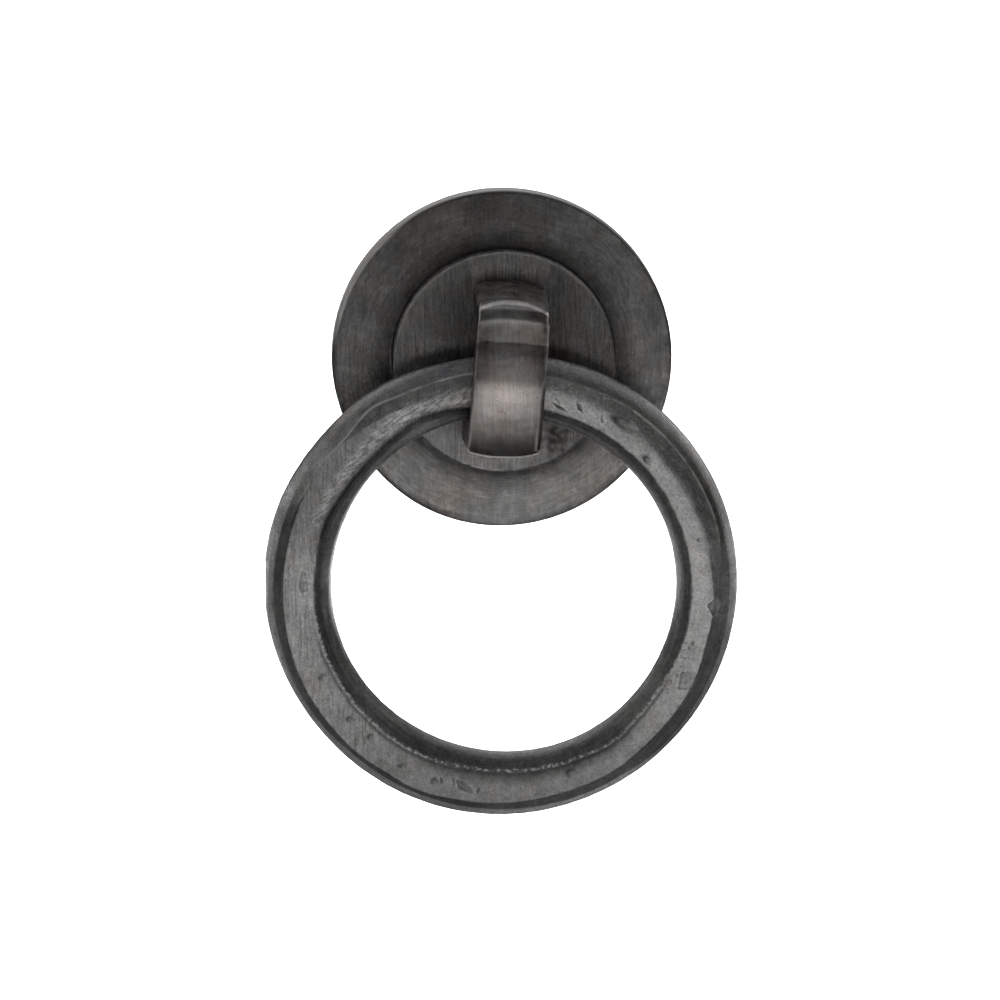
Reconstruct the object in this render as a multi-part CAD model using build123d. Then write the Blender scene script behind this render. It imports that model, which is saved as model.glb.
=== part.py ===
from build123d import *
import math
import os

# Ring drop pull for a drawer or a cabinet door, in millimetres.
# +Z is up. The door's face is the plane Y = 0 and the pull stands out of it towards -Y.
# The origin is the centre of the rosette's back, at the mouth of its mounting thread.

# Rosette
rosette_diameter = 41.275
rim_height = 2.9
rim_edge_chamfer = 0.35
back_edge_chamfer = 0.3
boss_diameter = 27.0
boss_height = 5.0
boss_edge_chamfer = 0.35
cove_width = 2.4
cove_dip = 0.2
cove_rise = 0.3

# Mounting thread in the rosette's back, drilled for a number 8 machine screw
mounting_thread_radius = 1.73
mounting_thread_end_wall = 1.0

# Ring with a faceted section
ring_outer_diameter = 57.15
ring_radial_width = 7.4
ring_depth = 6.5
outer_nose_width = 0.65
outer_bevel_width = 1.5
outer_bevel_depth = 1.35
inner_nose_width = 0.45
inner_bevel_width = 1.15
inner_bevel_depth = 1.4

# Strap that bridges the ring
strap_width_top = 8.8
strap_width_bottom = 8.7
strap_edge_thickness = 3.05
strap_crown = 0.65
strap_edge_chamfer = 0.25
strap_inner_bend_radius = 1.3
strap_lower_corner_radius = 2.4
strap_front_bulge = 0.35
strap_front_radius = 60.0
strap_leg_splay = 3.7
strap_twist = 3.8

# Screws that hold the strap from behind
screw_radius = 1.0
screw_head_radius = 1.9
screw_head_height = 0.9
screw_thread_in_leg = 3.6
screw_slot_width = 0.5
screw_slot_depth = 0.45

# Clearances
ring_swing_gap = 0.2
ring_side_gap = 0.65
loop_spare_height = 3.55
screw_thread_fit = 0.02
screw_hole_fit = 0.12
screw_hole_spare_depth = 0.4

# Plane of the outlines that are turned about the Y axis: X is the radius, Y the height over the door
turning_plane = Plane(origin=(0, 0, 0), x_dir=(1, 0, 0), z_dir=(0, 0, -1))

# Sizes that follow from the ones above
rosette_radius = rosette_diameter / 2
boss_radius = boss_diameter / 2
ring_outer_radius = ring_outer_diameter / 2
ring_inner_radius = ring_outer_radius - ring_radial_width
ring_mid_radius = ring_outer_radius - ring_radial_width / 2
strap_half_width = max(strap_width_top, strap_width_bottom) / 2
strap_mid_thickness = strap_edge_thickness + strap_crown
splay_slope = math.tan(math.radians(strap_leg_splay))

# Corners of the front half of the ring's section, as (radius, height over the middle plane)
ring_corners = [
    (ring_outer_radius, 0),
    (ring_outer_radius - outer_nose_width, ring_depth / 2 - outer_bevel_depth),
    (ring_outer_radius - outer_nose_width - outer_bevel_width, ring_depth / 2),
    (ring_inner_radius + inner_nose_width + inner_bevel_width, ring_depth / 2),
    (ring_inner_radius + inner_nose_width, ring_depth / 2 - inner_bevel_depth),
    (ring_inner_radius, 0),
]


def swing_distance(radius, height):
    """Distance of a point of the section from its centre, at the strap's side or in its middle."""
    at_side = math.sqrt(radius**2 - strap_half_width**2)
    return max(math.hypot(r - ring_mid_radius, height) for r in (radius, at_side))


# The ring turns about the centre of its section, and its section sweeps this radius in the loop
swing_radius = max(swing_distance(radius, height) for radius, height in ring_corners)
floor_tilt = strap_half_width * math.tan(math.radians(strap_twist))
loop_depth = 2 * (swing_radius + ring_side_gap)
loop_height = 2 * (swing_radius + floor_tilt) + ring_swing_gap + loop_spare_height

loop_front_y = -(boss_height + loop_depth)
pivot_y = -(boss_height + loop_depth / 2)
pivot_z = -loop_height / 2 + floor_tilt + ring_swing_gap + swing_radius
pivot_x = -loop_height / 2 * math.sin(math.radians(strap_twist))


def loop_half_height(y):
    """Half the height inside the loop: the legs spread towards the boss."""
    return loop_height / 2 + (y - pivot_y) * splay_slope


leg_screw_y = -(boss_height + screw_thread_in_leg / 2)
leg_screw_offset = loop_half_height(leg_screw_y) + strap_mid_thickness / 2


def turned(outline):
    """Solid turned about the Y axis from a closed outline of (radius, height over the door)."""
    return revolve(turning_plane * make_face(outline), Axis.Y)


def drilled(radius, start, end, top_radius=None):
    """Round cutter about the Y axis between two heights over the door, or a cone if given a top radius."""
    end_radius = radius if top_radius is None else top_radius
    corners = [(0, start), (radius, start), (end_radius, end), (0, end)]
    return turned(Polyline(*corners, close=True))


def at_each_leg(cutter):
    """The same shape at both legs of the strap, turned with it."""
    return [
        Rot(0, strap_twist, 0) * Pos(0, 0, side * leg_screw_offset) * cutter
        for side in (1, -1)
    ]


def make_rosette():
    """Turned disc with a raised boss, a shallow cove round it and a flat back."""
    cove_outer = (boss_radius + cove_width, rim_height)
    cove_bottom = (boss_radius + cove_width / 2, rim_height - cove_dip)
    cove_inner = (boss_radius, rim_height + cove_rise)
    rim = [
        (0, 0),
        (rosette_radius - back_edge_chamfer, 0),
        (rosette_radius, back_edge_chamfer),
        (rosette_radius, rim_height - rim_edge_chamfer),
        (rosette_radius - rim_edge_chamfer, rim_height),
        cove_outer,
    ]
    boss = [
        cove_inner,
        (boss_radius, boss_height - boss_edge_chamfer),
        (boss_radius - boss_edge_chamfer, boss_height),
        (0, boss_height),
        (0, 0),
    ]
    body = turned([Polyline(*rim), ThreePointArc(cove_outer, cove_bottom, cove_inner), Polyline(*boss)])
    body -= drilled(mounting_thread_radius, 0, boss_height - mounting_thread_end_wall)
    screw_hole = drilled(screw_radius + screw_hole_fit, 0, boss_height)
    head_seat = drilled(screw_head_radius, 0, screw_head_height, screw_radius)
    for cutter in at_each_leg(screw_hole + head_seat):
        body -= cutter
    return body


def make_ring():
    """Ring turned from its faceted section, hung from the pivot."""
    nose, corner, face_outer, face_inner, inner_corner, bore = ring_corners
    front = [corner, face_outer, face_inner, inner_corner]
    back = [(radius, -height) for radius, height in reversed(front)]
    outline = [
        ThreePointArc(back[-1], nose, front[0]),
        Polyline(*front, bore, *back),
    ]
    return Pos(pivot_x, pivot_y, pivot_z - ring_mid_radius) * turned(outline)


def strap_path():
    """Line along the inside of the strap, from behind the upper foot round to behind the lower one."""
    foot_y = 0.0
    front_half_height = loop_half_height(loop_front_y)
    foot_half_height = loop_half_height(foot_y)
    lower_corner = (0, loop_front_y, -front_half_height)
    over_and_down = FilletPolyline(
        (0, foot_y, foot_half_height),
        (0, loop_front_y, front_half_height),
        (0, loop_front_y - strap_front_bulge, 0),
        lower_corner,
        radius=[strap_inner_bend_radius, strap_front_radius],
    )
    lower_leg = Line(lower_corner, (0, foot_y, -foot_half_height))
    return Wire(over_and_down.edges() + lower_leg.edges())


def make_strap():
    """Band with a crowned outer face, made into a loop and cut to its taper and its feet."""
    path = strap_path()
    half = strap_half_width
    left_edge = (-half, strap_edge_thickness)
    right_edge = (half, strap_edge_thickness)
    section = make_face([
        Polyline(left_edge, (-half, 0), (half, 0), right_edge),
        ThreePointArc(right_edge, (0, strap_mid_thickness), left_edge),
    ])
    start = Plane(origin=path @ 0, x_dir=(1, 0, 0), z_dir=path % 0)
    band = sweep(start * section, path=path, transition=Transition.RIGHT)
    corner_height = -loop_half_height(loop_front_y) - strap_mid_thickness
    lower_corner = Vertex(0, loop_front_y - strap_mid_thickness, corner_height)
    band = fillet(band.edges().sort_by_distance(lower_corner)[0], strap_lower_corner_radius)
    reach = loop_half_height(0) + strap_mid_thickness
    taper = [
        (-strap_width_top / 2, reach),
        (strap_width_top / 2, reach),
        (strap_width_bottom / 2, -reach),
        (-strap_width_bottom / 2, -reach),
    ]
    sides = Plane.XZ * make_face(Polyline(*taper, close=True))
    outer_y = -loop_front_y + strap_mid_thickness + 2 * strap_front_bulge
    band &= Pos(0, -boss_height, 0) * extrude(sides, outer_y - boss_height)
    side_faces = band.faces().filter_by(lambda face: abs(face.normal_at().X) > abs(face.normal_at().Z) + 0.5)
    long_edges = [edge for edge in side_faces.edges() if edge.center().Y < -boss_height - strap_edge_chamfer]
    band = chamfer(long_edges, strap_edge_chamfer)
    band = Rot(0, strap_twist, 0) * band
    hole_end = boss_height + screw_thread_in_leg + screw_hole_spare_depth
    for cutter in at_each_leg(drilled(screw_radius + screw_thread_fit, 0, hole_end)):
        band -= cutter
    return band


def make_screws():
    """Two slotted countersunk screws, one up into each leg of the strap."""
    tip = boss_height + screw_thread_in_leg
    corners = [
        (0, 0),
        (screw_head_radius, 0),
        (screw_radius, screw_head_height),
        (screw_radius, tip),
        (0, tip),
    ]
    slot = Box(2 * screw_head_radius, 2 * screw_slot_depth, screw_slot_width)
    return Compound(children=at_each_leg(turned(Polyline(*corners, close=True)) - slot))


os.makedirs("parts", exist_ok=True)
pieces = {
    "rosette": make_rosette(),
    "strap": make_strap(),
    "ring": make_ring(),
    "strap_screws": make_screws(),
}
for name, shape in pieces.items():
    export_step(shape, f"parts/{name}.step")
print(f"The ring turns about an axis along X through {pivot_x:.4f}, {pivot_y:.4f}, {pivot_z:.4f}")
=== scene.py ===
import math
from types import SimpleNamespace

import bpy
import numpy as np
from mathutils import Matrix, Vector, noise


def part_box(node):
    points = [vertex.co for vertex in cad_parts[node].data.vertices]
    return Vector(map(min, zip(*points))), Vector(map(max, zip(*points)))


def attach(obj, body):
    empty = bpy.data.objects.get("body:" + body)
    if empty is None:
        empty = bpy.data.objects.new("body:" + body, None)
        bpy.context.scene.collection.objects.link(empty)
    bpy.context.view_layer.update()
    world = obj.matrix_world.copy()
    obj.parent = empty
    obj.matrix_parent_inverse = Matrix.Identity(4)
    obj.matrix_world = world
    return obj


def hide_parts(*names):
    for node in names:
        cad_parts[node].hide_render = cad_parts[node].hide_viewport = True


# Ring drop pull in hand-finished dark bronze, hung as if on a door that isn't shown.
# Shapes are worked out in millimetres and turned into metres when a mesh is made.
# Angles run clockwise from the top, seen from the front. Ranges that pass the top go on beyond 360.

MM = 0.001

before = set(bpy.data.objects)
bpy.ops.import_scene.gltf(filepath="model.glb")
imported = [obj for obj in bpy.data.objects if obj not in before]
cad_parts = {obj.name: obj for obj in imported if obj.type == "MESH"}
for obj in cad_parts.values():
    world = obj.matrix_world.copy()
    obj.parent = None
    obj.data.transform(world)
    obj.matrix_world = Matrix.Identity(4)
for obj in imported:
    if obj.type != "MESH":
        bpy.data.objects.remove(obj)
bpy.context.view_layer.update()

# Camera at the photograph's viewing angle
camera_azimuth = -3.3
camera_elevation = 11.4
camera_distance = 700.0
camera_target = (-0.1, 0.0, -17.93)
camera_view_angle = 9.957

# Rosette
rim_height = 2.9
rim_round = 0.45
back_edge_chamfer = 0.3
boss_radius = 13.45
boss_round = 0.3
boss_shift = 0.15
boss_wall_foot = 2.75
cove_radius = 16.2
hub_radius = 0.02
rosette_box_gap = 0.02
rosette_steps = 600

# Holes in the rosette's back
thread_minor_radius = 1.73
thread_depth = 0.32
thread_pitch = 0.794
thread_length = 4.0
thread_rows_a_turn = 8
screw_head_radius = 1.95
screw_head_height = 0.93
screw_hole_depth = 4.0
screw_hole_radius = 1.12
cad_screw_head_radius = 1.9
cutter_overlap = 0.2
cutter_steps = 48

# Ring: radii of the lines between its facets, and heights over the middle plane of its section
ring_outline_radius = 28.436
ring_nose_radius = 27.8
ring_crease_radius = 26.85
ring_upper_edge_radius = 25.05
ring_lower_edge_radius = 25.5
ring_lower_crease_share = 0.45
ring_face_end_radius = 22.7
ring_bore_radius = 20.75
ring_face_height = 3.2
ring_nose_height = 1.9
ring_wall_height = 1.85
ring_wall_width = 0.5
ring_back_nose_width = 0.65
ring_back_bevel_width = 1.5
ring_back_wall_width = 1.6
ring_box_gap = 0.06
ring_stations = 800
stroke_slope = 32

# Unevenness round the ring, as waves: how many go round, angle of a crest, height
ring_outline_waves = [(1, 7, 0.076), (2, 97, 0.082), (3, 47, 0.174), (4, 14.5, 0.076)]
ring_bore_waves = [(1, 49.3, 0.319), (2, 310.1, 0.191), (4, 337, 0.061)]

# Unevenness round the ring, as lumps: angle, width in degrees, height
ring_outline_lumps = [(329, 9, 0.4), (177, 22, -0.14)]
ring_nose_lumps = [(225, 40, -0.42), (95, 40, -0.45)]
ring_crease_lumps = [(15, 12, -0.25), (325, 4.5, 0.6), (313, 5, -0.15)]
ring_lower_edge_lumps = [
    (213, 4, -0.2), (270, 14, -0.2), (303, 7, 0.12), (180, 20, -0.22), (91, 4, 0.25),
    (105, 5, -0.25), (136, 8, -0.22), (165, 7, -0.2), (228, 14, -0.22),
]
ring_face_end_lumps = [
    (295, 30, 0.2), (336, 9, 0.75), (292, 5, 0.3), (145, 5, 0.3), (185, 28, -0.25),
    (187, 14, -0.33), (124, 9, -0.25), (232, 18, -0.2),
]

# Dents in the ring's face: angle, radius, length along the ring, width, turn in degrees, depth
ring_dents = [
    (271.4, 25.28, 0.22, 0.22, 0, 0.09),
    (283.1, 23.2, 0.25, 0.25, 0, 0.07),
    (199.6, 24.8, 0.8, 0.8, 0, 0.05),
    (209.6, 24.6, 1.0, 0.4, 30, 0.06),
    (171.1, 25.56, 0.2, 0.35, 0, 0.09),
    (36.2, 24.95, 3.8, 1.1, 3, 0.07),
    (47.5, 23.44, 1.3, 0.7, 0, 0.045),
    (75.7, 24.5, 0.35, 0.9, -15, 0.05),
    (230.0, 24.2, 0.8, 0.7, 0, 0.03),
    (222.0, 23.9, 0.9, 0.7, 15, 0.03),
    (160.0, 24.0, 1.2, 1.0, -10, 0.02),
    (245.0, 24.0, 0.5, 1.2, 0, 0.04),
]

# Nicks and cuts in the ring's face: corners across and up from its centre, depth, tone inside
ring_cuts = [
    ([(24.6, -1.9), (26.1, -0.9), (26.4, -2.4), (25.2, -3.2)], 0.10, 0.3),
    ([(21.5, -10.2), (23.3, -10.2), (22.8, -12.3), (21.1, -12.3)], 0.04, 0.32),
    ([(-24.2, 2.8), (-23.75, 2.6), (-23.5, 0.4), (-24.4, 0.25), (-24.5, 1.3)], 0.05, 0.29),
    ([(8.7, 23.1), (9.35, 22.5), (9.5, 21.7), (8.9, 22.2)], 0.08, 0.12),
    ([(5.9, 23.0), (6.6, 22.65), (7.1, 22.35), (7.7, 21.8), (7.0, 22.1), (6.4, 22.4)], 0.08, 0.12),
    ([(6.2, 23.6), (6.9, 22.8), (6.65, 22.75)], 0.06, 0.14),
    ([(11.75, 21.4), (11.95, 20.9), (11.85, 20.4), (11.65, 20.9)], 0.06, 0.14),
    ([(-7.65, -22.9), (-7.4, -23.0), (-7.35, -23.7), (-7.6, -23.6)], 0.08, 0.12),
    ([(-6.2, -22.9), (-5.95, -22.95), (-5.85, -23.8), (-6.05, -24.1)], 0.05, 0.22),
    ([(-5.75, -23.2), (-4.7, -23.5), (-3.7, -24.5), (-3.7, -24.85), (-4.3, -24.85), (-5.4, -24.2)],
     0.06, 0.2),
    ([(-2.95, -24.1), (-2.75, -24.3), (-3.05, -24.95), (-3.2, -24.7)], 0.06, 0.14),
]

# Strap: its outer line in side view is a row of filed facets, as (tilt upwards in degrees, length)
strap_width_top = 8.75
strap_width_bottom = 8.65
strap_edge_thickness = 3.05
strap_crown = 0.65
strap_leg_splay = 3.7
strap_twist = 3.8
strap_edge_round = 0.28
strap_foot_depth = 0.1
strap_facets = [
    (65, 1.6), (36, 1.65), (13, 2.52), (5, 1.6), (3, 1.9), (1, 2.0), (-2, 2.0), (-5, 1.8), (-8, 1.2),
]
strap_lower_round = 1.3
strap_lower_setback = 0.7
strap_upper_bend_y = -16.6
strap_front_box_gap = 0.03
strap_top_box_gap = 0.02
strap_bottom_box_gap = 0.05
bend_z = 7.2

# Tones, from 0 for black to 1 for white
rosette_back_tone = 0.18
# Painted light: the ring's back is lighter than its bevels, so that its reflection in the rosette is less
# dark
ring_back_tone = 0.26
# Painted light: the upper part of the boss's wall, which faces the light from above, gets this lighter tone
lit_boss_wall_tone = 0.42
lowest_tone = 0.02


def box_mm(node):
    """Lowest and highest corners of a CAD node, in millimetres."""
    low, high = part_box(node)
    return np.array(low) / MM, np.array(high) / MM


rosette_low, rosette_high = box_mm("rosette")
ring_low, ring_high = box_mm("ring")
strap_low, strap_high = box_mm("strap")
screws_high = box_mm("strap_screws")[1]
rosette_radius = (rosette_high[0] - rosette_low[0]) / 2
boss_height = -rosette_low[1]
ring_centre = (ring_low + ring_high) / 2
ring_radius = (ring_high[0] - ring_low[0]) / 2
ring_half_depth = (ring_high[1] - ring_low[1]) / 2
strap_thickness = strap_edge_thickness + strap_crown


def mesh_piece(name, points, faces, smooth=True, **values):
    """Mesh object from points in millimetres, with named values at its points for the material to read."""
    mesh = bpy.data.meshes.new(name)
    mesh.from_pydata((points.reshape(-1, 3) * MM).tolist(), [], faces)
    mesh.update()
    mesh.polygons.foreach_set("use_smooth", [smooth] * len(mesh.polygons))
    for value_name, numbers in values.items():
        layer = mesh.attributes.new(value_name, "FLOAT", "POINT")
        layer.data.foreach_set("value", np.asarray(numbers, np.float32).ravel())
    piece = bpy.data.objects.new(name, mesh)
    bpy.context.scene.collection.objects.link(piece)
    return piece


def grid_faces(rows, columns, wrap_rows=True, wrap_columns=True):
    """Quads of a grid of rows by columns, which may close on itself either way."""
    faces = []
    for row in range(rows if wrap_rows else rows - 1):
        start = row * columns
        above = (row + 1) % rows * columns
        for column in range(columns if wrap_columns else columns - 1):
            beside = (column + 1) % columns
            faces.append((start + column, start + beside, above + beside, above + column))
    return faces


def tube_faces(rows, columns):
    """Faces of a tube whose rows go round it, with a face over each end."""
    last = (rows - 1) * columns
    ends = [list(reversed(range(columns))), list(range(last, last + columns))]
    return grid_faces(rows, columns, wrap_rows=False) + ends


def rough_field(points, size, seed):
    """Smooth noise from about -1 to 1 at each point, with features of about size millimetres."""
    shift = Vector(np.random.default_rng(seed).uniform(-50, 50, 3))
    flat = [noise.noise(Vector(point) / size + shift) for point in points.reshape(-1, 3)]
    return np.array(flat).reshape(points.shape[:-1])


def turn_from(angle, middle):
    """Signed distance of an angle from another, in degrees from -180 to 180."""
    return (angle - middle + 180) % 360 - 180


def bell(value, middle, width):
    """1 where the value is in the middle, falling smoothly to 0 on both sides."""
    return np.exp(-0.5 * ((value - middle) / width) ** 2)


def lump(angle, middle, width, height):
    """Smooth rise of the given height at one angle."""
    return height * bell(turn_from(angle, middle), 0, width)


def with_lumps(start, angle, lumps):
    """A value with (angle, width, height) lumps added to it."""
    for middle, width, height in lumps:
        start = start + lump(angle, middle, width, height)
    return start


def with_waves(start, angle, waves):
    """A value with (how many go round, angle of a crest, height) waves added to it."""
    for number, crest, height in waves:
        start = start + height * np.cos(number * np.radians(angle - crest))
    return start


def ramp(value, start, end):
    """Smooth step from 0 to 1."""
    share = np.clip((value - start) / (end - start), 0, 1)
    return share * share * (3 - 2 * share)


def span(angle, rise_start, rise_end, fall_start, fall_end):
    """1 between two angles and 0 outside them, with soft ends, also over the top."""
    middle = (rise_start + fall_end) / 2
    turn = turn_from(angle, middle)
    rise = ramp(turn, rise_start - middle, rise_end - middle)
    return rise * (1 - ramp(turn, fall_start - middle, fall_end - middle))


def patches(points, size, seed, start, end):
    """Random patches of 1 among 0, where the rough field rises from start to end."""
    return ramp(rough_field(points, size, seed), start, end)


def blend(first, second, share):
    """Mix of two values."""
    return first * (1 - share) + second * share


def shaded(tone, shades):
    """Tone made lighter or darker by (share, where) pairs."""
    for share, where in shades:
        tone = tone * (1 + share * where)
    return tone


def towards(start, end, distance):
    """Points at a distance from the start points on the way to the end points."""
    way = end - start
    return start + way / np.linalg.norm(way, axis=-1, keepdims=True) * np.asarray(distance)[..., None]


def rounded_line(corners, closed=False):
    """Points along straight runs with rounded corners.

    Each corner is (x, y, rounding, steps on its rounding, steps on the run after it), where x, y and
    the rounding may be arrays, one value for each station.
    """
    count = len(corners)
    spots = [np.stack(np.broadcast_arrays(corner[0], corner[1]), -1).astype(float) for corner in corners]
    line = []
    for index, (_, _, rounding, round_steps, run_steps) in enumerate(corners):
        here = spots[index]
        following = (index + 1) % count
        leave = here
        if not closed and index in (0, count - 1):
            line.append(here)
        else:
            arrive = towards(here, spots[index - 1], rounding)
            leave = towards(here, spots[following], rounding)
            for share in np.linspace(0, 1, round_steps):
                line.append((1 - share) ** 2 * arrive + 2 * share * (1 - share) * here + share**2 * leave)
        target = spots[following]
        if closed or index + 1 < count - 1:
            target = towards(target, here, corners[following][2])
        for share in np.linspace(0, 1, run_steps + 2)[1:-1]:
            line.append((1 - share) * leave + share * target)
    return np.stack(np.broadcast_arrays(*line), -2)


def outward(line):
    """Unit normals of closed outlines, one outline for each station."""
    along = np.roll(line, -1, axis=-2) - np.roll(line, 1, axis=-2)
    along /= np.linalg.norm(along, axis=-1, keepdims=True)
    return np.stack([along[..., 1], -along[..., 0]], -1)


def shares_along(line):
    """How far along a line each of its points is, from 0 to 1."""
    lengths = np.concatenate([[0], np.cumsum(np.linalg.norm(np.diff(line, axis=0), axis=1))])
    return lengths / lengths[-1]


def ring_outline(angle):
    """Outer radius of the ring: hand-filed, so not quite round. It stays in the CAD part's box."""
    radius = with_waves(ring_outline_radius, angle, ring_outline_waves)
    radius = with_lumps(radius, angle, ring_outline_lumps)
    turn = np.radians(angle)
    reach = np.maximum(np.abs(np.sin(turn)), np.abs(np.cos(turn)))
    return np.minimum(radius, (ring_radius - ring_box_gap) / reach)


def ring_edges(angle):
    """Radii and heights of the lines between the ring's facets, one value for each station.

    The upper part has a soft outer facet as far as a crease. On the lower part the face runs to the
    dark bevel.
    """
    turn = np.radians(angle)
    wobble = np.stack([np.cos(turn), np.sin(turn), np.zeros_like(angle)], -1) * 23
    upper = span(angle, 284, 300, 430, 452)
    nose = with_lumps(ring_nose_radius, angle, ring_nose_lumps)

    edge = ring_lower_edge_radius + 0.9 * ramp(angle, 92, 185) + 0.25 * ramp(angle, 192, 203)
    edge = with_lumps(edge, angle, ring_lower_edge_lumps)
    edge = blend(edge, ring_upper_edge_radius, span(angle, 305, 345, 440, 466))
    edge = edge - lump(angle, 52, 9, 0.33) + 0.05 * rough_field(wobble, 1.8, 5)

    upper_crease = with_lumps(ring_crease_radius, angle, ring_crease_lumps)
    upper_crease = np.maximum(upper_crease + 0.03 * rough_field(wobble, 0.7, 6), edge + 0.12)
    crease = blend(edge + ring_lower_crease_share * (nose - edge), upper_crease, upper)
    slope = np.tan(np.radians(14 + 14 * span(angle, 40, 85, 100, 110)))
    lower_drop = ring_lower_crease_share * (ring_face_height - ring_nose_height)
    crease_height = ring_face_height - blend(lower_drop, (crease - edge) * slope, upper)

    end = with_lumps(ring_face_end_radius, angle, ring_face_end_lumps)
    end = end + 0.09 * rough_field(wobble, 1.5, 3) + 0.07 * rough_field(wobble, 0.6, 4)
    bore = with_waves(ring_bore_radius, angle, ring_bore_waves)
    edges = SimpleNamespace(outer=ring_outline(angle), nose=nose, edge=edge, end=end, bore=bore, upper=upper)
    edges.crease, edges.crease_height = crease, crease_height
    edges.nose_height = np.minimum(ring_nose_height, crease_height - 0.5)
    return edges


def ring_section(angle, edges):
    """Closed outline of the ring's section at each station, as (radius, height) points."""
    face = ring_face_height
    wall = edges.bore + ring_wall_width
    back_nose = edges.outer - ring_back_nose_width

    # A corner that is rounded over half of each side comes back by a quarter, so it is set further out
    crest = (4 * edges.outer - edges.nose) / 3
    bore_crest = (4 * edges.bore - wall) / 3
    crest_round = 0.5 * np.hypot(crest - edges.nose, edges.nose_height)
    bore_round = 0.5 * np.hypot(wall - bore_crest, ring_wall_height)
    return rounded_line([
        (crest, 0.0, crest_round, 12, 0),
        (edges.nose, edges.nose_height, 0.12, 4, 6),
        (edges.crease, edges.crease_height, 0.06, 4, 8),
        (edges.edge, face, 0.1 + 0.5 * span(angle, 325, 350, 440, 460), 6, 24),
        (edges.end, face, 0.16, 6, 8),
        (wall, ring_wall_height, 0.35, 5, 0),
        (bore_crest, 0.0, bore_round, 11, 0),
        (wall, -ring_wall_height, 0.3, 2, 1),
        (edges.bore + ring_back_wall_width, -face, 0.2, 3, 3),
        (back_nose - ring_back_bevel_width, -face, 0.2, 3, 2),
        (back_nose, -ring_nose_height, 0.3, 2, 0),
    ], closed=True)


def on_ring(around, radius, height):
    """Points at the given angles, radii and heights of the ring."""
    turn = np.radians(around)
    x = ring_centre[0] + radius * np.sin(turn)
    z = ring_centre[2] + radius * np.cos(turn)
    return np.stack([x, ring_centre[1] - height, z], -1)


def even_ring():
    """The ring before its hand work: its points, and the values that the hand work is placed by."""
    angle = np.arange(ring_stations) * 360 / ring_stations
    edges = ring_edges(angle)
    ring = SimpleNamespace(**{name: value[:, None] for name, value in vars(edges).items()})
    ring.line = ring_section(angle, edges)
    ring.section = ring.line[..., 0]
    ring.height = ring.line[..., 1]
    ring.around = np.broadcast_to(angle[:, None], ring.section.shape)
    ring.past_end = ring.section - ring.end
    ring.on_face = ramp(ring.height, ring_face_height - 0.5, ring_face_height - 0.1)
    ring.front = ramp(ring.height, 0.5, 1.5)
    ring.points = on_ring(ring.around, ring.section, ring.height)
    return ring


def file_strokes(ring):
    """Where the ring's face is filed, at its upper left beside the inner edge."""
    past = ring.past_end
    reach = 1.25 + 0.75 * ramp(turn_from(ring.around, 320), -15, 20)
    filed = span(ring.around, 283, 298, 358, 368) * (0.25 + 0.75 * ramp(past, 0, 0.7)) * ring.on_face
    return filed * ramp(past, -0.1, 0.1) * (1 - ramp(past, reach, reach + 0.9))


def press_dents(ring):
    """Depth of the dents, where their floors are, and the painted shade and highlight round their rims."""
    depths = floors = rims = 0.0
    for middle, radius, length, width, tilt, depth in ring_dents:
        along = np.radians(turn_from(ring.around, middle)) * radius
        across = ring.section - radius
        cos, sin = math.cos(math.radians(tilt)), math.sin(math.radians(tilt))
        lengthwise = (along * cos + across * sin) / (length / 2)
        crosswise = (across * cos - along * sin) / (width / 2)
        dent = np.exp(-((lengthwise**2 + crosswise**2) ** 1.6)) * ring.on_face
        depths = depths + 2.0 * depth * dent
        floors = np.maximum(floors, dent)

        # From 1 at the upper left of a dent, which the light leaves dark, to -1 at its lower right
        spin = math.radians(middle)
        shadow = (across - along) * math.cos(spin) - (along + across) * math.sin(spin)
        shadow = shadow / np.maximum(1.42 * np.hypot(along, across), 1e-6)
        rim = np.clip(4 * dent * (1 - dent), 0, 1)
        rims = rims + rim * (0.35 + 0.45 * np.maximum(shadow, 0) - 0.5 * np.maximum(-shadow, 0))
    return depths, floors, rims


def inside_distance(x, z, corners):
    """Distance from the edge of a flat outline, positive inside it and negative outside."""
    nearest = np.full(x.shape, 1e9)
    within = np.zeros(x.shape, bool)
    for (x0, z0), (x1, z1) in zip(corners, corners[1:] + corners[:1]):
        run, rise = x1 - x0, z1 - z0
        share = np.clip(((x - x0) * run + (z - z0) * rise) / (run**2 + rise**2), 0, 1)
        nearest = np.minimum(nearest, np.hypot(x - x0 - share * run, z - z0 - share * rise))
        if rise != 0:
            within ^= ((z0 > z) != (z1 > z)) & (x < x0 + run * (z - z0) / rise)
    return np.where(within, nearest, -nearest)


def press_cuts(ring):
    """The cuts, each with how far inside it and how far left in it the ring's points are."""
    x = ring.points[..., 0] - ring_centre[0]
    z = ring.points[..., 2] - ring_centre[2]
    cuts = []
    for corners, depth, floor_tone in ring_cuts:
        left = min(corner[0] for corner in corners)
        right = max(corner[0] for corner in corners)
        leftness = ramp(((left + right) / 2 - x) / (right - left), -0.3, 0.3)
        cuts.append((inside_distance(x, z, corners), depth, floor_tone, leftness))
    return cuts


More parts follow.
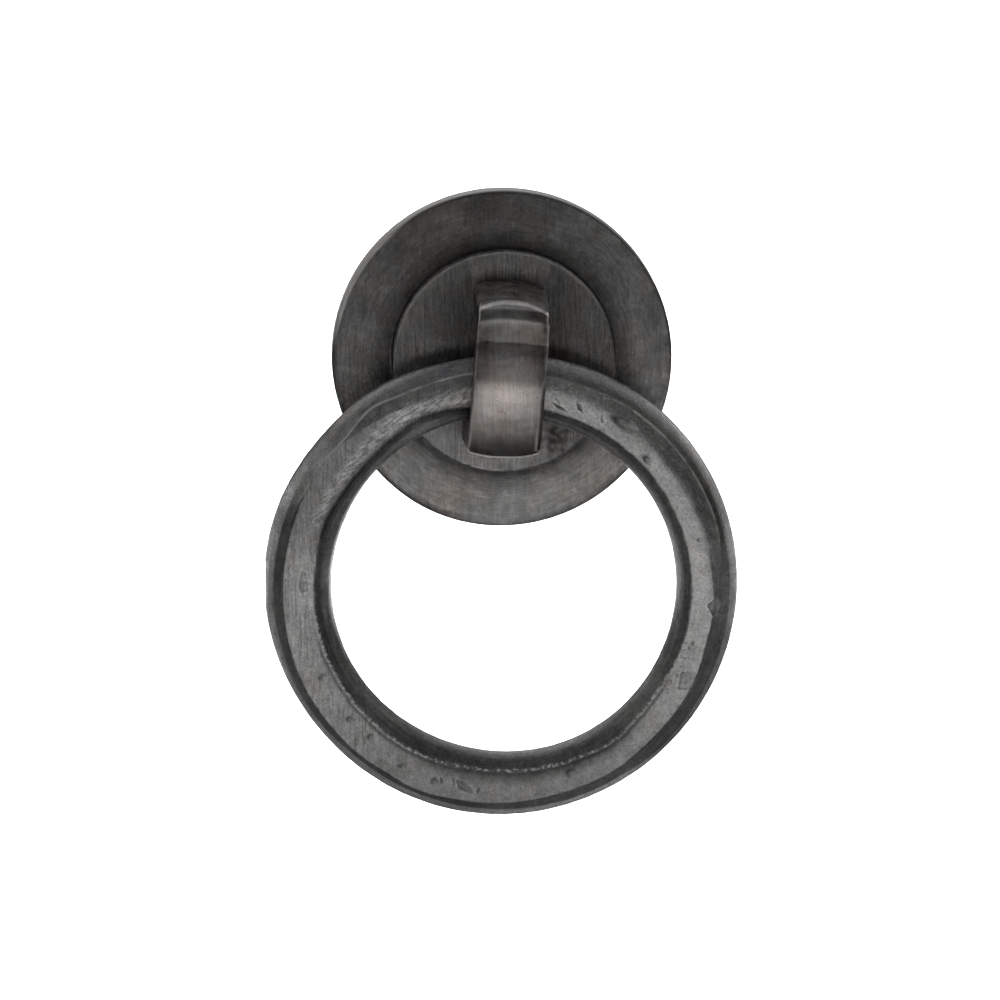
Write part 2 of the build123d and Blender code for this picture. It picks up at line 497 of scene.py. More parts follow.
def work_ring(ring):
    """Moves the ring's points by its roughness, burr, furrow, dents and cuts."""
    around, past, points = ring.around, ring.past_end, ring.points
    lift = 0.03 * rough_field(points, 1.6, 11) + 0.015 * rough_field(points, 0.6, 12)
    pitted = span(around, 4, 10, 30, 44) * ramp(1.8 - past, 0, 0.8) * ring.on_face
    lift = lift + 0.06 * pitted * rough_field(points, 0.9, 14)
    burred = span(around, 100, 125, 255, 270)
    burr = bell(past, 0, 0.1) * ramp(ring.height, 2.4, 3.0) * burred
    furrow = bell(past, 0.45, 0.3) * ring.on_face * burred
    ring.ragged = rough_field(points, 0.4, 15)
    lift = lift + burr * (0.03 + 0.07 * ring.ragged)
    lift = lift - furrow * (0.04 + 0.04 * rough_field(points, 1.4, 16))
    depths, ring.dent_floors, ring.dent_rims = press_dents(ring)
    lift = lift - depths
    ring.cuts = press_cuts(ring)
    for inside, depth, _, _ in ring.cuts:
        lift = lift - depth * ramp(inside, -0.03, 0.12) * ring.on_face
    away = outward(ring.line)
    height = np.clip(ring.height + away[..., 1] * lift, -ring_half_depth, ring_half_depth)
    ring.points = on_ring(around, ring.section + away[..., 0] * lift, height)


def beyond_edge(ring):
    """Where the ring falls away outside its face: sharply on the lower part, softly on the upper."""
    around, section, edge = ring.around, ring.section, ring.edge
    sharp = (1 - ring.upper) * ramp(section, edge - 0.04, edge + 0.1)
    soft = ring.upper * ramp(section, edge - 0.3, edge + 0.5) * (0.3 + 0.45 * span(around, 18, 36, 80, 100))
    lighter = np.maximum(span(around, 135, 150, 180, 190), span(around, 82, 88, 96, 102))
    return np.maximum(sharp, soft) * (1 - lump(around, 285, 5, 0.4)) * (1 - 0.3 * lighter)


def ring_outer_shades(ring):
    """Painted shade and highlights of the outer facet, the bevel and the rounded nose."""
    around, section = ring.around, ring.section
    left = span(around, 215, 250, 290, 310)
    top = span(around, 300, 318, 345, 362)
    bottom = span(around, 125, 155, 205, 230)
    late = span(around, 310, 325, 415, 432)
    nose_start = ring.nose - 0.03 - 0.42 * span(around, 135, 150, 222, 240) + 0.15 * late
    on_nose = np.clip((section - nose_start) / (0.2 + 0.35 * late), 0, 1)
    nose_lumps = [(284, 7, 2.6), (305, 8, -0.7), (73, 9, 2.4), (57, 7, 0.8), (226, 12, 0.9), (346, 8, 1.8)]
    nose_gain = with_lumps(0.75 + 0.9 * left + 0.4 * top + 1.7 * bottom, around, nose_lumps)
    right_rim = ramp(section, ring.outer - 0.35, ring.outer - 0.1) * span(around, 28, 42, 75, 90)
    past_crease = section - ring.crease
    light_facet = ramp(past_crease, -0.02, 0.06) * span(around, 288, 294, 306, 314)
    dark_band = bell(past_crease, 0.35, 0.28) * ramp(past_crease, 0.02, 0.12)
    return [
        # Painted shade on the bevel beyond the face
        (-0.62, ring.beyond),
        (-0.42, span(around, 276, 292, 322, 345)),
        (-0.3, span(around, 330, 342, 356, 372)),
        # Painted highlights on the facet past the crease at the upper left, on the rounded nose and on the
        # rim at the upper right
        (0.7, light_facet),
        (nose_gain, on_nose),
        (1.1, right_rim),
        # Painted shade in a band past the crease at the top right
        (-0.45, dark_band * span(around, 355, 375, 430, 446)),
    ]


def ring_inner_shades(ring):
    """Painted shade and light on the inner edge and the wall down to the bore, and a darker furrow beside
    the edge.
    """
    around, past = ring.around, ring.past_end
    low_side = span(around, 105, 140, 225, 260)
    wall_lumps = [(112, 12, 0.5), (158, 16, 0.2), (235, 18, 0.4), (285, 12, 0.35), (322, 16, 1.0)]
    furrow = bell(past, 0.38, 0.16) * ring.front * span(around, 112, 124, 250, 264)
    shaded_inner_edge = (1 - ramp(past, 0, 0.8)) * ramp(past, -0.15, 0.0) * span(around, 278, 292, 350, 360)
    under_edge = bell(past, -0.25, 0.17) * ring.front * span(around, 280, 290, 346, 356)
    low_face = ramp(2.1 - past, 0, 1.8) * (1 - ramp(-past, -0.05, 0.1)) * span(around, 120, 155, 195, 216)
    bore_edge = ramp(ring.bore + 0.7 - ring.section, 0.0, 0.5) * span(around, 35, 60, 105, 130)
    return [
        # Painted shade on the inner wall, lifted in lumps by painted light
        (0.13 * low_side - 0.68, ring.inside),
        (with_lumps(0.05, around, wall_lumps), ring.inside),
        (0.35 * span(around, 150, 165, 195, 212) - 0.62, furrow),
        # Painted shade on the inner edge at the upper left and just outside it
        (-0.45, shaded_inner_edge),
        (-0.5, under_edge),
        # Painted light on the face away from the inner edge, most on the upper part
        (1.0 - 0.8 * low_side, ramp(-past, 0.75, 1.1)),
        # Painted shade on the lower face by the inner edge, and by the bore at the right
        (-0.62, low_face),
        (-0.7, bore_edge),
    ]


def ring_mark_shades(ring):
    """Tone of the file strokes and the pits, and painted shade and highlight in and round the dents."""
    around = ring.around
    pits = patches(ring.points, 0.35, 19, 0.3, 0.5) * ramp(1.6 - ring.past_end, 0, 0.6)
    return [
        (0.5 - 0.25 * span(around, 332, 340, 350, 360), ring.filed),
        # Painted shade on the dents' floors, and painted shade and highlight round their rims
        (-0.2, ring.dent_floors),
        (-1.0, np.clip(ring.dent_rims, -0.5, 0.8)),
        (-0.6, pits * span(around, 96, 100, 120, 126) * ring.on_face),
    ]


def ring_tone(ring):
    """Tone of the ring: a lighter face inside darker bevels, with painted shade and highlights on its
    facets, nose and wall, and its marks and cuts.
    """
    tone = with_lumps(0.31, ring.around, [(95, 30, 0.12), (185, 45, -0.05), (262, 30, 0.03)])
    tone = shaded(tone, ring_outer_shades(ring) + ring_inner_shades(ring) + ring_mark_shades(ring))
    for inside, _, floor_tone, leftness in ring.cuts:
        tone = blend(tone, floor_tone * (1 + 0.3 * ring.ragged), ramp(inside, -0.02, 0.12) * ring.front)
        # Painted shade on each cut's left side, where the light leaves it dark, and a painted highlight on
        # the lip outside it
        dark_side = bell(inside, 0.02, 0.07) * ring.front
        bright_lip = bell(inside, -0.16, 0.07) * ring.on_face
        tone = shaded(tone, [(-0.15 - 0.45 * leftness, dark_side), (0.3, bright_lip)])
    return np.where(ring.height < 0, ring_back_tone, tone)


def ring_highlights(ring):
    """Where the ring's outer crease gets a painted highlight, and where painted light beads lie on its lower
    inner edge.
    """
    around, points = ring.around, ring.points
    # Painted highlight along the upper crease, strongest at the upper left and the upper right
    crease = bell(ring.section, ring.crease, 0.06) * ring.front * ring.upper
    sides = np.maximum(span(around, 280, 300, 350, 362), span(around, 25, 36, 74, 84))
    crease = crease * (0.3 + 0.5 * sides) * (0.35 + 0.65 * patches(points, 1.3, 17, -0.5, 0.1))
    # Painted highlight on the burr's beads along the lower inner edge
    beads = bell(ring.past_end, -0.02, 0.1) * ring.front * span(around, 100, 118, 258, 272)
    beads = beads * (1 - lump(around, 226, 12, 0.15)) * (0.6 + 0.4 * patches(points, 0.7, 18, -0.3, 0.1))
    return crease, beads


def make_ring():
    """Ring with uneven hand-cut facets, creases, a burr along the lower inner edge, and dents."""
    ring = even_ring()
    ring.filed = file_strokes(ring)
    work_ring(ring)
    ring.beyond = beyond_edge(ring)
    ring.inside = ramp(-ring.past_end, -0.02, 0.2) * ring.front
    worn, beads = ring_highlights(ring)
    return mesh_piece(
        "ring_body", ring.points, grid_faces(*ring.section.shape),
        tone=ring_tone(ring),
        filed=ring.filed,
        brushed=span(ring.around, 200, 225, 340, 352) * ring.on_face,
        streaked=np.maximum(ring.beyond, ring.inside),
        worn=worn,
        beads=beads,
    )


def turned_cutter(name, centre, outline):
    """Closed round shape for cutting a hole in the back, from (radius or radii, depth) rows."""
    turn = np.arange(cutter_steps) * 2 * math.pi / cutter_steps
    rows = []
    for radius, depth in outline:
        x = centre[0] + radius * np.sin(turn)
        z = centre[1] + radius * np.cos(turn)
        rows.append(np.stack([x, np.full(cutter_steps, -depth), z], -1))
    faces = [face[::-1] for face in tube_faces(len(rows), cutter_steps)]
    return mesh_piece(name, np.concatenate(rows), faces, smooth=False)


def cut_holes(piece, cutters):
    """Cuts the shapes out of the piece and removes them. New points have no tone and get the back's."""
    for cutter in cutters:
        hole = piece.modifiers.new("hole", "BOOLEAN")
        hole.operation = "DIFFERENCE"
        hole.solver = "EXACT"
        hole.object = cutter
    bpy.context.view_layer.update()
    evaluated = piece.evaluated_get(bpy.context.evaluated_depsgraph_get())
    mesh = bpy.data.meshes.new_from_object(evaluated)
    piece.modifiers.clear()
    piece.data = mesh
    for cutter in cutters:
        bpy.data.objects.remove(cutter)
    tones = np.zeros(len(mesh.vertices), np.float32)
    mesh.attributes["tone"].data.foreach_get("value", tones)
    tones[tones < lowest_tone - 0.001] = rosette_back_tone
    mesh.attributes["tone"].data.foreach_set("value", tones)
    for face in mesh.polygons:
        if face.normal.y > 0.99:
            face.use_smooth = False


def back_holes():
    """Shapes of the tapped hole and of the two countersunk screw holes in the rosette's back."""
    turns = np.arange(cutter_steps) / cutter_steps
    thread = []
    for depth in np.arange(-cutter_overlap, thread_length, thread_pitch / thread_rows_a_turn):
        phase = (depth / thread_pitch + turns) % 1
        thread.append((thread_minor_radius + thread_depth * (1 - np.abs(2 * phase - 1)), depth))
    seat = [
        (screw_head_radius, -cutter_overlap),
        (screw_head_radius, 0.0),
        (screw_hole_radius, screw_head_height),
        (screw_hole_radius, screw_hole_depth),
    ]
    x, _, z = screws_high - cad_screw_head_radius
    return [
        turned_cutter("thread_cutter", (0.0, 0.0), thread),
        turned_cutter("upper_cutter", (x, z), seat),
        turned_cutter("lower_cutter", (-x, -z), seat),
    ]


def even_rosette():
    """The rosette as turned, slightly uneven, and the values that its tones are placed by."""
    angle = np.arange(rosette_steps) * 360 / rosette_steps
    radius = rosette_radius - lump(angle, 235, 16, 0.25) - rosette_box_gap
    line = rounded_line([
        (hub_radius, 0.0, 0, 0, 6),
        (radius - back_edge_chamfer, 0.0, 0.05, 2, 1),
        (radius, back_edge_chamfer, 0.05, 2, 5),
        (radius, rim_height, rim_round, 7, 16),
        (cove_radius, rim_height, 1.2, 7, 8),
        (boss_radius + 0.05, boss_wall_foot, 0.25, 5, 4),
        (boss_radius, boss_height, boss_round, 8, 30),
        (hub_radius, boss_height, 0, 0, 0),
    ])
    section, height = line[..., 0], line[..., 1]
    around = np.broadcast_to(angle[:, None], section.shape)
    turn = np.radians(around)
    off_boss = ramp(section, boss_radius + 0.5, boss_radius + 4)
    shift = boss_shift * (1 - off_boss) * ramp(height, 0.5, 2)
    points = np.stack([section * np.sin(turn) + shift, -height, section * np.cos(turn)], -1)
    relief = 0.02 * rough_field(points, 5.0, 21) + 0.008 * rough_field(points, 1.2, 22) + 0.01
    points[..., 1] += ramp(height, 2.0, 2.6) * relief
    points[..., 1] = np.maximum(points[..., 1], -boss_height)
    disc = SimpleNamespace(section=section, height=height, around=around, points=points)
    disc.on_boss = 1 - ramp(section, boss_radius - 0.2, boss_radius)
    disc.upper = span(around, 260, 300, 405, 445)

    # Painted light: a lighter band along the ring's outer edge, lifting the ring's dark reflection in the
    # rosette
    from_ring = np.hypot(points[..., 0] - ring_centre[0], points[..., 2] - ring_centre[2]) - ring_radius
    disc.over_ring = ramp(from_ring, -6, -3) * (1 - ramp(from_ring, -0.5, 2.5))
    return disc


def rosette_face_tone(disc):
    """Tone of the rosette round its boss: lighter and browner low down and to the right, with painted shade
    round the boss's foot and on the rim's lower sides, and painted light along the ring.
    """
    around, section, points = disc.around, disc.section, disc.points
    tone = with_lumps(0.08 + 0.17 * ramp(-points[..., 2], -6, 17), around,
                      [(80, 35, 0.035), (265, 30, 0.02), (225, 20, -0.03)])
    tone = tone + 0.02 * rough_field(points, 3.5, 23)
    tone = tone * (1 + 0.22 * rough_field(points, 2.2, 26) + 0.12 * rough_field(points, 0.9, 27))
    past_boss = section - boss_radius
    near_rim = ramp(section, rosette_radius - 1.2, rosette_radius - 0.3)
    dark_rim = np.maximum(0.45 * span(around, 95, 150, 160, 180), 0.6 * span(around, 178, 205, 245, 300))
    return shaded(tone, [
        # Painted shade in the cove round the boss's foot, and a painted shadow line under the boss's lower
        # edge
        (-0.5, ramp(past_boss, -0.3, 0.3) * (1 - ramp(past_boss, 0.8, 3.4))),
        (-0.5, bell(past_boss, 0.65, 0.3) * span(around, 92, 115, 250, 268)),
        (-1.0, lump(around, 0, 28, 0.2)),
        # Painted shade on the rim's lower sides
        (-dark_rim, near_rim),
        # Painted light lifting the ring's dark reflection
        (0.7, disc.over_ring),
    ])


def rosette_boss_tone(disc):
    """Tone of the boss: nearly black with painted shade beside the strap, a rubbed patch at its lower right,
    and painted light over the strap and along the ring.
    """
    x, z = disc.points[..., 0], disc.points[..., 2]
    # Painted shade beside the strap
    beside_strap = bell(np.abs(x), 5.5, 2.5) * ramp(z, -9, -4) * (1 - 0.5 * ramp(z, 7, 11))
    rubbed = bell(x, 6.3, 1.3) * bell(z, -9.2, 1.8)
    # Painted light over the strap's top, lifting the strap's shadow on the boss
    painted_light_over_strap = bell(z, 11.2, 0.6) * ramp(5.2 - np.abs(x - 0.7), 0, 1)
    return shaded(0.105 - 0.04 * beside_strap + 0.1 * ramp(-z, 5, 12), [
        (-0.6 - 1.1 * rough_field(disc.points, 0.6, 25), rubbed),
        (0.55, painted_light_over_strap),
        (-0.22, ramp(x, 4.2, 7.0)),
        # Painted light lifting the ring's dark reflection
        (0.9, disc.over_ring),
    ])


def rosette_tone(disc):
    """Tone of the rosette's face, boss, boss wall and back."""
    tone = blend(rosette_face_tone(disc), rosette_boss_tone(disc), disc.on_boss)
    # Painted light on the upper part of the boss's wall, which faces the light from above
    wall = ramp(disc.height, rim_height, rim_height + 0.4)
    wall = wall * ramp(disc.section, boss_radius - 0.12, boss_radius - 0.02)
    tone = blend(tone, lit_boss_wall_tone, wall * disc.upper)
    tone = blend(tone, rosette_back_tone, 1 - ramp(disc.height, 0.1, 0.6))
    return np.clip(tone, lowest_tone, 1)


def rosette_highlights_and_wear(disc):
    """Painted highlights on the boss's upper edge and on the upper rim, and light flecks rubbed low on the
    boss's edge.
    """
    around, section = disc.around, disc.section
    edge = bell(section - boss_radius, -0.16, 0.06) * ramp(disc.height, 4.2, 4.7)
    flecks = span(around, 178, 184, 200, 206) * patches(disc.points, 1.0, 24, -0.1, 0.15)
    # Painted highlight on the upper rim's rounded side, which faces the light from above
    rim_start = rosette_radius - 0.3 - 0.3 * span(around, 270, 285, 315, 332)
    rim = ramp(section, rim_start, rim_start + 0.3) * ramp(disc.height, 0.3, 0.8)
    rim = rim * span(around, 268, 288, 415, 438)
    return np.clip(edge * (0.5 * disc.upper + 0.9 * flecks) + 0.8 * rim, 0, 1)


def make_rosette():
    """Turned disc with a raised boss, a shallow dished face round it, and the holes in its back."""
    disc = even_rosette()
    rows, columns = disc.section.shape
    faces = grid_faces(rows, columns, wrap_columns=False)
    faces.append([row * columns for row in range(rows)])
    faces.append([row * columns + columns - 1 for row in reversed(range(rows))])
    values = {"tone": rosette_tone(disc), "worn": rosette_highlights_and_wear(disc), "boss": disc.on_boss}
    piece = mesh_piece("rosette_body", disc.points, faces, **values)
    cut_holes(piece, back_holes())
    return piece


def strap_lines():
    """Inner and outer lines of the strap in its own plane, as rows of (y, z) before it is twisted."""
    slope = math.tan(math.radians(strap_leg_splay))
    twist = math.radians(strap_twist)
    box_half = (strap_high[2] - strap_low[2]) / 2
    front = strap_low[1] + strap_front_box_gap
    root = -boss_height + strap_foot_depth
    outer_half = (box_half - strap_width_bottom / 2 * math.sin(twist)) / math.cos(twist)
    outer_half = outer_half - strap_top_box_gap
    outer_low = box_half - strap_bottom_box_gap

    # The outer facets are walked from the top and then moved so that the foremost point is at the front
    corners = [(0.0, 0.0)]
    for tilt, length in strap_facets:
        y, z = corners[-1]
        turn = math.radians(tilt)
        corners.append((y - length * math.sin(turn), z - length * math.cos(turn)))
    first_y = front - min(y for y, z in corners)
    bend_height = outer_half - slope * (root - first_y)
    corners = [(y + first_y, z + bend_height) for y, z in corners]
    lower_half = outer_low - 0.8 * slope * (root - front)
    outer = [(root, outer_half, 0, 0, 46), (*corners[0], 0.7, 12, 6)]
    for corner in corners[1:]:
        outer.append((*corner, 0.4, 8, 8))
    outer.append((corners[-1][0] + strap_lower_setback, -lower_half, strap_lower_round, 30, 50))
    outer.append((root, -outer_low, 0, 0, 0))

    inner_half = outer_half - strap_thickness
    inner_front = front + strap_thickness
    inner_corner_half = inner_half - slope * (root - inner_front)
    inner = [
        (root, inner_half, 0, 0, 60),
        (inner_front, inner_corner_half, 1.3, 40, 40),
        (inner_front, -inner_corner_half, 0.3, 30, 60),
        (root, -inner_half, 0, 0, 0),
    ]
    return rounded_line(inner), rounded_line(outer)


def matched_inner(inner, outer):
    """The inner line with one point for each of the outer line's, and bend against bend."""
    share = shares_along(outer)
    inner_share = shares_along(inner)
    at_front = np.abs(inner[:, 0] - inner[:, 0].min()) < 0.4
    upper_bend = share[np.argmin(np.abs(outer[:, 0] - strap_upper_bend_y) + 100 * (outer[:, 1] < 0))]
    lower_bend = share[np.argmax(-outer[:, 0] - outer[:, 1])]
    inner_bends = [inner_share[at_front].min(), inner_share[at_front].max()]
    wanted = np.interp(share, [0, upper_bend, lower_bend, 1], [0, *inner_bends, 1])
    return np.stack([np.interp(wanted, inner_share, inner[:, axis]) for axis in (0, 1)], -1)


def strap_section(band):
    """Section of the strap at each of its stations, as (place across, place from inside to outside)."""
    half = np.full(len(band.outer), strap_width_bottom / 2)
    right_round = strap_edge_round + 0.2 * band.top_right + 0.15 * band.low_right
    edge = strap_edge_thickness
    shoulder = edge + strap_crown * 0.42
    crown = strap_thickness - 0.09
    return rounded_line([
        (-half, 0.0, 0.25, 4, 10),
        (half, 0.0, 0.25, 4, 7),
        (half, edge, right_round, 7, 0),
        (half * 0.8, shoulder, 0.32, 3, 3),
        (half * 0.4, crown, 0.8, 4, 4),
        (-half * 0.4, crown, 0.8, 4, 3),
        (-half * 0.8, shoulder, 0.5, 3, 0),
        (-half, edge, strap_edge_round, 7, 7),
    ], closed=True)


def even_strap():
    """The bent and twisted strap, and the values that its tones are placed by."""
    inner, outer = strap_lines()
    inner = matched_inner(inner, outer)
    band = SimpleNamespace(outer=outer)
    band.top_right = bell(outer[:, 1], 8.0, 1.3) * ramp(-outer[:, 0], 13, 15.5)
    band.low_right = ramp(-outer[:, 1], -3.2, 3.0) * ramp(outer[:, 1], -9.4, -8.6)
    rows = strap_section(band)
    band.across, band.out = rows[..., 0], rows[..., 1]
    depth = band.out / strap_thickness
    y, z = (blend(inner[:, None, axis], outer[:, None, axis], depth) for axis in (0, 1))
    reach = np.abs(z).max()
    width = blend(strap_width_bottom, strap_width_top, (z + reach) / (2 * reach))
    left = np.clip(-band.across / (strap_width_bottom / 2), 0, 1)
    x = band.across * width / strap_width_bottom + left * (0.12 + 0.02 * z)
    band.x, band.y, band.z = x, y, z

    twist = math.radians(strap_twist)
    turned_x = x * math.cos(twist) + z * math.sin(twist)
    turned_z = z * math.cos(twist) - x * math.sin(twist)
    turned_z = turned_z + 0.03 * turned_x * ramp(-turned_z, 5, 8.5) * ramp(-y, 13, 16)
    points = np.stack([turned_x, y, turned_z], -1)
    relief = 0.02 * rough_field(points, 3.0, 31) + 0.008 * rough_field(points, 0.8, 32) + 0.02
    points[..., 1] += ramp(band.out, 1.5, 2.4) * relief
    band.points = points
    band.facing = ramp(band.out, 2.3, 2.6)
    band.on_leg = ramp(outer[:, None, 0], -15.6, -15.0)
    band.shoulder = strap_width_bottom / 2 - 0.55 * band.low_right[:, None]
    band.right_edge = ramp(band.across, band.shoulder - 0.1, band.shoulder + 0.25)
    band.right_edge = band.right_edge * ramp(band.low_right, 0.1, 0.9)[:, None]
    return band


def strap_tone(band):
    """Tone of the strap: darker on its sides, with painted reflection bands of light and dark down its face
    and painted shade on its lower bend, its lower right edge and above its upper bend.
    """
    x, outer_y = band.x, band.outer[:, None, 0]
    along = band.outer[:, None, 1] + 0.1 * rough_field(band.points, 2.0, 35)
    rightness = np.clip(x / 4, 0, 1)
    skewed = along + 0.7 * rightness**2 + 0.4 * np.clip(-x / 4, 0, 1) ** 2
    above_bend = bell(outer_y, -15.2, 0.5) * (along > 0)
    over_bend = ramp(skewed, 8.92, 9.0)
    under_bend = ramp(along, 7.15, 7.5)
    crest = ramp(skewed, 9.28, 9.4)
    light_start = ramp(along, 4.6, 4.95)
    dark_start = ramp(along, 2.0, 3.6)
    # Painted reflections: light and dark bands down the face where its bend and facets mirror the lights
    bands = [
        (1.3, band.on_leg * ramp(along, 2, 5)),
        (0.8, over_bend * (1 - band.on_leg) * (1 - 1.6 * crest)),
        (-0.32, under_bend * (1 - over_bend) * (1 - 0.4 * rightness)),
        (0.62, light_start * (1 - under_bend) * (1 + 0.7 * x / 4 + 1.2 * ramp(-x, 3.0, 3.8))),
        (-0.75, dark_start * (1 - light_start)),
        (-0.63, ramp(along, -1.6, 0.6) * (1 - dark_start)),
        (-0.15, 1 - ramp(along, -5.6, -4.3)),
        (0.9, bell(along, bend_z, 0.24)),
    ]
    gain = sum(share * where for share, where in bands)
    nick = bell(x, 3.8, 0.17) * bell(band.z, 6.4, 0.4) * band.facing * (1 - band.on_leg)
    return shaded(0.15 + 0.1 * band.facing, [
        # Painted shade on the lower bend, which faces down
        (-0.72, ramp(-band.z, 5.3, 8.0) * ramp(-band.y, 14, 16)),
        (gain, band.facing),
        # Painted shade on the lower right edge, and above the upper bend's highlight
        (-0.6, band.right_edge),
        (-0.45, above_bend),
        (-0.65, nick),
    ])


def strap_highlights(band):
    """Painted highlights on the strap: along its long edges, at its lowest corner and on the ridge of its
    bend.
    """
    outer, points = band.outer, band.points
    side = bell(np.abs(band.across) - strap_width_bottom / 2, -0.1, 0.1) * ramp(band.out, 2.2, 2.45)
    side = side * ramp(-band.y, 12, 14) * (0.4 + 0.6 * patches(points, 1.2, 33, -0.5, 0.1))
    side = side * (1 - 0.6 * band.top_right[:, None]) * (1 - band.right_edge)
    line = bell(band.across - band.shoulder, -0.04, 0.08) * ramp(band.low_right, 0.2, 0.6)[:, None]
    line = line * band.facing * (0.4 + 0.6 * ramp(-band.z, 5, 7)) * (1 - band.on_leg)
    ridge = bell(outer[:, None, 1], bend_z, 0.1) * band.facing * (1 - band.on_leg)
    ridge = ridge * patches(points, 1.0, 34, -0.3, 0.2)
    step = np.gradient(outer, axis=0)
    tilt = step[:, 1] / np.maximum(np.linalg.norm(step, axis=1), 1e-6)
    # Painted highlight on the bottom edge's small chamfer
    bottom = ramp(tilt, -0.73, -0.63) * (1 - ramp(tilt, -0.15, -0.1))
    bottom = bottom[:, None] * band.facing * ramp(-band.z, 7, 8)
    return np.clip(0.6 * (side + 0.9 * line) + bottom + 0.4 * ridge, 0, 1)


def make_strap():
    """Band with a crowned face bent over the ring, its facets and edges softened by hand finishing."""
    band = even_strap()
    faces = tube_faces(*band.across.shape)
    return mesh_piece("strap_body", band.points, faces, tone=strap_tone(band), worn=strap_highlights(band))


class Graph:
    """A new material, its shader, object coordinates in millimetres, and short ways to add nodes."""

    def __init__(self, name):
        self.material = bpy.data.materials.new(name)
        self.material.use_nodes = True
        self.material.node_tree.nodes.clear()
        self.surface = self.node("BsdfPrincipled")
        self.node("OutputMaterial", self.surface)
        self.where = self.scaled(self.node("TexCoord").outputs["Object"], 1 / MM)

    def put(self, value, socket):
        """Links a socket, or a node's first output, or sets a plain value."""
        if isinstance(value, bpy.types.Node):
            value = value.outputs[0]
        if isinstance(value, bpy.types.NodeSocket):
            self.material.node_tree.links.new(value, socket)
        else:
            socket.default_value = value

    def node(self, kind, *values, **settings):
        """A new node with its settings, and with values or links for its first inputs."""
        node = self.material.node_tree.nodes.new("ShaderNode" + kind)
        for name, setting in settings.items():
            setattr(node, name, setting)
        for index, value in enumerate(values):
            self.put(value, node.inputs[index])
        return node

    def math(self, operation, first, second):
        return self.node("Math", first, second, operation=operation)

    def vector(self, operation, *values):
        return self.node("VectorMath", *values, operation=operation)

    def scaled(self, vector, factor):
        node = self.vector("SCALE", vector)
        self.put(factor, node.inputs["Scale"])
        return node

    def stretched(self, factors):
        return self.vector("MULTIPLY", self.where, factors)

    def polar(self, centre, around, across):
        """Noise position round an axis along Y, with features long round it and short across."""
        offset = self.vector("SUBTRACT", self.where, tuple(centre))
        flat = self.vector("MULTIPLY", offset, (1.0, 0.0, 1.0))
        radius = self.vector("LENGTH", flat).outputs["Value"]
        spoke = self.node("CombineXYZ", 0.0, self.math("MULTIPLY", radius, across))
        return self.vector("ADD", self.scaled(self.vector("NORMALIZE", flat), around), spoke)

    def slanted(self, degrees, along, across):
        """Noise position whose features lie along a line that rises to the right by some degrees."""
        cos, sin = math.cos(math.radians(degrees)), math.sin(math.radians(degrees))
        shares = []
        for direction, factor in (((cos, 0.0, sin), along), ((-sin, 0.0, cos), across)):
            share = self.vector("DOT_PRODUCT", self.where, direction).outputs["Value"]
            shares.append(self.math("MULTIPLY", share, factor))
        return self.node("CombineXYZ", shares[0], 0.0, shares[1])

    def noise(self, scale, detail, rough, position=None):
        node = self.node("TexNoise", position or self.where)
        for name, value in (("Scale", scale), ("Detail", detail), ("Roughness", rough)):
            node.inputs[name].default_value = value
        return node

    def remap(self, value, low, high, to_low=0.0, to_high=1.0):
        return self.node("MapRange", value, low, high, to_low, to_high)

    def mix(self, factor, first, second):
        node = self.node("Mix", factor, data_type="RGBA")
        self.put(first, node.inputs[6])
        self.put(second, node.inputs[7])
        return node.outputs[2]

    def attribute(self, name):
        return self.node("Attribute", attribute_name=name).outputs["Fac"]

    def bump(self, height, distance, normal):
        node = self.node("Bump", 1.0, distance * MM)
        self.put(height, node.inputs["Height"])
        if normal is not None:
            self.put(normal, node.inputs["Normal"])
        return node

    def finish(self, layers, tint, rough, reliefs, tone=None, edge_tint=0.7, worn=None):
        """Joins everything into the metal, and returns the material.

        layers are (noise, share of the tone) pairs, and reliefs are (noise, millimetres) pairs. The
        tone, and the share of painted highlight and rubbed wear, are the mesh's own values unless given.
        """
        value = tone or self.attribute("tone")
        worn = worn or self.attribute("worn")
        for field, share in layers:
            swing = self.math("MULTIPLY", self.remap(field, 0.33, 0.67, -1.0, 1.0), share)
            value = self.math("MULTIPLY", value, self.math("ADD", swing, 1.0))
        plain = self.scaled((1.0, 1.0, 0.99), value)
        warm = self.scaled((1.1, 0.98, 0.9), value)
        # Painted highlights and rubbed wear turn the colour towards a light grey and make it less metallic
        colour = self.mix(worn, self.mix(tint, plain, warm), (0.62, 0.6, 0.58, 1))
        self.put(colour, self.surface.inputs["Base Color"])
        self.put(self.remap(worn, 0.0, 1.0, 1.0, 0.4), self.surface.inputs["Metallic"])
        self.put(rough, self.surface.inputs["Roughness"])
        self.surface.inputs["Specular Tint"].default_value = (edge_tint, edge_tint, edge_tint, 1)
        normal = None
        for field, distance in reliefs:
            normal = self.bump(field, distance, normal)
        self.put(normal, self.surface.inputs["Normal"])
        return self.material


